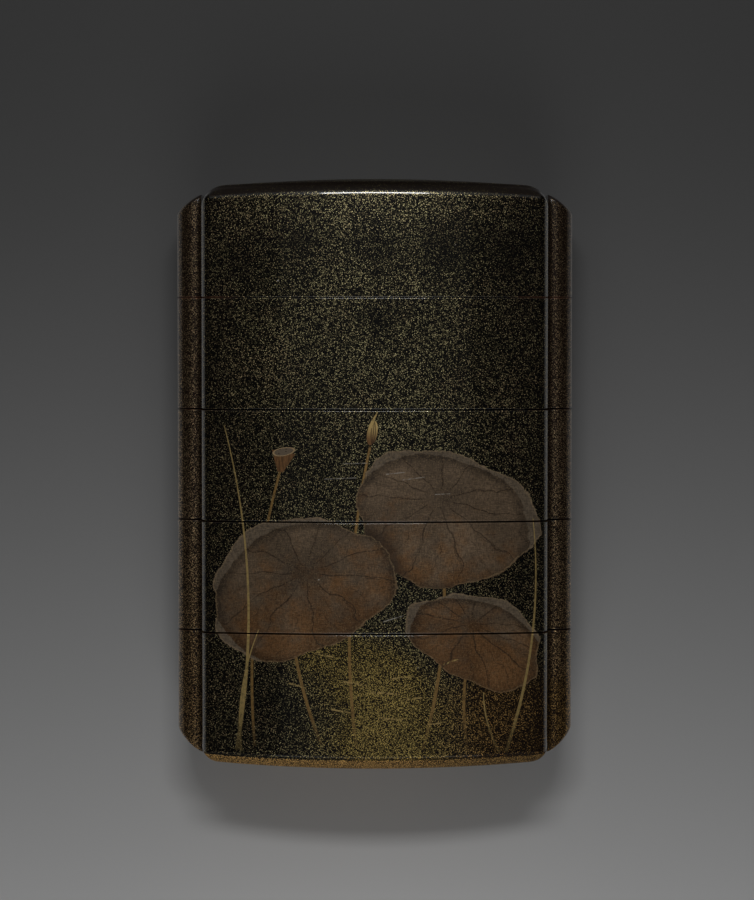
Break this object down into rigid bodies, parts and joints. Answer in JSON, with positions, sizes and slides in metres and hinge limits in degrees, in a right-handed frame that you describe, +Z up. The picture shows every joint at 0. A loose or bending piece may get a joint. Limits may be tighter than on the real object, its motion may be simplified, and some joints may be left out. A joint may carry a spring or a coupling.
{
  "type": "inro case",
  "caption": "Tiered pocket case of lacquered wood: stacked cases and a lid fit together on inner risers, with a rounded cord runner down each side.",
  "frame": {"origin": "on the surface that the case lies on, under the middle of the case", "axes": "+Y towards the lid along the case, +Z up out of the front, +X to the right seen from the front with the lid away from the viewer"},
  "size_m": [0.0574, 0.0856, 0.0239],
  "materials": {
    "gold_dusted_lacquer": "black lacquer over wood, dusted with fine gold flakes under clear lacquer, polished",
    "pictured_lacquer": "black lacquer over wood with gold dust and a flush brown-grey picture, polished"
  },
  "bodies": {
    "root": {"lid": "gold_dusted_lacquer", "case_1": "gold_dusted_lacquer", "case_2": "pictured_lacquer", "case_3": "pictured_lacquer", "case_4": "gold_dusted_lacquer"}
  },
  "joints": []
}
